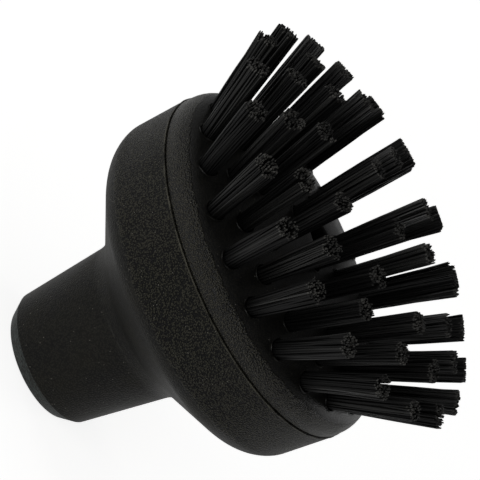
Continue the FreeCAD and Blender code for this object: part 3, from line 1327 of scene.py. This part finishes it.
@dataclass
class Studio:
    """The pale floor, the soft light and the camera."""

    focal_length: float = 258.58
    sensor_width: float = 36.0
    camera_place: tuple[float, float, float] = (-0.0093, -0.8860, 0.4143)
    camera_right: tuple[float, float, float] = (0.4050, 0.3315, 0.8521)
    camera_up: tuple[float, float, float] = (-0.9143, 0.1469, 0.3775)
    target: tuple[float, float, float] = (0.0, 0.0, 0.06)
    floor_width: float = 8.0
    floor_drop: float = 0.0003
    floor_colour: str = "#e6e6e4"
    world_colour: str = "#ffffff"
    world_strength: float = 0.16
    floor_glow: float = 0.42
    floor_white: float = 0.8
    lamps: tuple[SoftLamp, ...] = (
        SoftLamp("key_soft_lamp", (-0.5, -1.4, 0.27), 1.5, 0.5, 10.4),
        SoftLamp("left_soft_lamp", (-1.4, 0.2, 0.4), 0.6, 0.6, 1.8),
        SoftLamp("back_soft_lamp", (0.9, 1.3, 0.6), 0.8, 0.6, 2.4),
    )

    def build_camera(self) -> None:
        """Places the camera where the photograph was taken from."""
        data = bpy.data.cameras.new("camera")
        data.lens = self.focal_length
        data.sensor_width = self.sensor_width
        data.clip_start = 0.05
        data.clip_end = 50.0
        camera = bpy.data.objects.new("camera", data)
        bpy.context.scene.collection.objects.link(camera)
        right = Vector(self.camera_right).normalized()
        up = Vector(self.camera_up)
        up = (up - right * up.dot(right)).normalized()
        back = right.cross(up)
        camera.matrix_world = Matrix.Translation(self.camera_place) @ Matrix(
            (right, up, back)
        ).transposed().to_4x4()
        bpy.context.scene.camera = camera

    def build_floor(self) -> None:
        """Lays the pale floor, which shows white but keeps the head's shadow."""
        start_clean()
        bpy.ops.mesh.primitive_plane_add(
            size=self.floor_width, location=(0.0, 0.0, -self.floor_drop)
        )
        floor = bpy.context.object
        floor.name = "floor"
        # Uncoated white paper looks even, without sheen, with only the head's soft shadow on it.
        material, tree = start_material("white_paper_sweep")
        seen = add_node(tree, "ShaderNodeLightPath").outputs["Is Camera Ray"]
        glow = add_node(
            tree, "ShaderNodeMath",
            {0: seen, 1: self.floor_white - self.floor_glow, 2: self.floor_glow},
            {"operation": "MULTIPLY_ADD"},
        )
        shine = add_node(tree, "ShaderNodeEmission", {"Strength": glow.outputs[0]})
        paper = add_node(tree, "ShaderNodeBsdfDiffuse", Color=linear(self.floor_colour))
        both = add_node(
            tree, "ShaderNodeAddShader", {0: paper.outputs["BSDF"], 1: shine.outputs["Emission"]}
        )
        add_node(tree, "ShaderNodeOutputMaterial", {"Surface": both.outputs["Shader"]})
        floor.data.materials.append(material)

    def build_world(self) -> None:
        """Surrounds the head with even pale light, white where it is seen."""
        world = bpy.data.worlds.new("studio")
        bpy.context.scene.world = world
        world.use_nodes = True
        tree = world.node_tree
        tree.nodes.clear()
        seen = add_node(tree, "ShaderNodeLightPath").outputs["Is Camera Ray"]
        strength = add_node(
            tree, "ShaderNodeMix", {"Factor": seen}, {"data_type": "FLOAT"},
            A=self.world_strength, B=1.0,
        )
        light = add_node(
            tree, "ShaderNodeBackground", {"Strength": strength.outputs["Result"]},
            Color=linear(self.world_colour),
        )
        add_node(tree, "ShaderNodeOutputWorld", {"Surface": light.outputs["Background"]})

    def build_lamps(self) -> None:
        """Hangs the soft lamps."""
        for lamp in self.lamps:
            data = bpy.data.lights.new(lamp.name, "AREA")
            data.shape = "RECTANGLE"
            data.size = lamp.width
            data.size_y = lamp.height
            data.energy = lamp.power
            light = bpy.data.objects.new(lamp.name, data)
            bpy.context.scene.collection.objects.link(light)
            light.location = lamp.place
            toward = Vector(self.target) - Vector(lamp.place)
            light.rotation_mode = "QUATERNION"
            light.rotation_quaternion = toward.to_track_quat("-Z", "Y")

    def build(self) -> None:
        """Sets the whole studio."""
        self.build_camera()
        self.build_floor()
        self.build_world()
        self.build_lamps()
        bpy.context.scene.view_settings.view_transform = "Standard"
        LOG.info("studio: %d lamps", len(self.lamps))


def main() -> None:
    """Builds the studio and dresses the head, piece by piece."""
    logging.basicConfig(level=logging.INFO, format="%(name)s: %(message)s")
    Studio().build()
    # Spark-eroded mould: matte, olive and grained on the side and plainer on the neck. Paler rings
    # paint the light on the mouth's chamfer, a highlight low on the neck's root fillet and a
    # highlight along the lip at the seam.
    hood_plastic = MouldedPlastic(
        name="black_polypropylene_spark_grain",
        pattern=Pattern.SPARK_GRAIN,
        colour="#080808",
        worn_colour="#15140f",
        dust_colour="#8b887f",
        roughness=0.46,
        specular_level=0.13,
        grain_size=0.54,
        grain_height=0.45,
        dust_spacing=1.3,
        dust_share=0.095,
        band_colour="#302f27",
        pit_colour="#020202",
        band_from=55.5,
        band_to=90.0,
        plain_share=0.25,
        painted_light_rings=(
            PaintedLightRing(-1.0, 4.25, "#2f3634", 0.75, 0.9),
            PaintedLightRing(33.3, 33.9, "#2e2e2b", 0.45, 2.5),
            PaintedLightRing(72.15, 72.7, "#4b4940", 0.85, 6.0),
        ),
    ).material()
    # Satin mould: a little shinier than the hood, and grained mainly round the rim. The grain is
    # real, and the band's paler colour also paints the highlight on the rim, which stops where the
    # dome turns dark.
    plate_plastic = MouldedPlastic(
        name="black_polypropylene_satin",
        pattern=Pattern.SATIN,
        colour="#090909",
        worn_colour="#0f0f0e",
        dust_colour="#807d75",
        roughness=0.38,
        specular_level=0.24,
        grain_size=0.46,
        grain_height=0.4,
        dust_spacing=1.6,
        dust_share=0.08,
        # Paler than the grain alone: a painted highlight on the rim.
        band_colour="#333129",
        pit_colour="#080807",
        band_from=60.0,
        band_to=79.3,
        plain_share=0.2,
    ).material()
    # Drawn sides: near black and smooth, with painted highlights: filaments picked at random,
    # clump by clump, are coloured lighter.
    nylon = DrawnNylon(
        name="black_drawn_nylon",
        colour="#030303",
        light_colour="#2d2d2c",
        roughness=0.32,
        specular_level=0.18,
        ripple_size=0.9,
        bright_from=0.5,
    ).material()
    # Cut ends: rough from the trimming, so each shows as a dull grey point.
    cut_nylon = DrawnNylon(
        name="cut_nylon_end",
        colour="#101010",
        light_colour="#4b4a47",
        roughness=0.55,
        specular_level=0.18,
        ripple_size=0.5,
        bright_from=0.05,
    ).material()
    fan = TuftFan()
    Hood().build(hood_plastic)
    BristlePlate(fan).build(plate_plastic)
    BristleTufts(fan).build(nylon, cut_nylon)
    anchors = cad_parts["tuft_anchors"]
    steel = FlatSteelWire().material()
    anchors.data.materials.clear()
    anchors.data.materials.append(steel)
    LOG.info("tuft anchors: %d faces", len(anchors.data.polygons))


if __name__ == "__main__":
    main()
